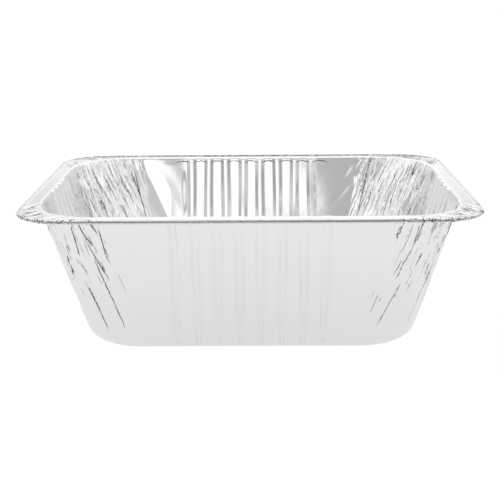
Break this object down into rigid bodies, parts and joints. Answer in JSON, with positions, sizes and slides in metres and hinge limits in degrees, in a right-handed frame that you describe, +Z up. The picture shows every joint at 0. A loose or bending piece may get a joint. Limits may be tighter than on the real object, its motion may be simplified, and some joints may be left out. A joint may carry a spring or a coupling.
{
  "type": "foil food container",
  "caption": "Deep rectangular pan pressed from one sheet of foil, with tapered ribbed walls, gathered corners and a flat flange with a rolled rim.",
  "frame": {"origin": "middle of the flat underside, on the surface the pan stands on", "axes": "+X along the long side, +Y along the short side, +Z up, out of the opening"},
  "size_m": [0.324, 0.264, 0.106],
  "materials": {
    "foil": "satin pressed foil with fine creases"
  },
  "bodies": {
    "root": {"foil_pan": "foil"}
  },
  "joints": []
}
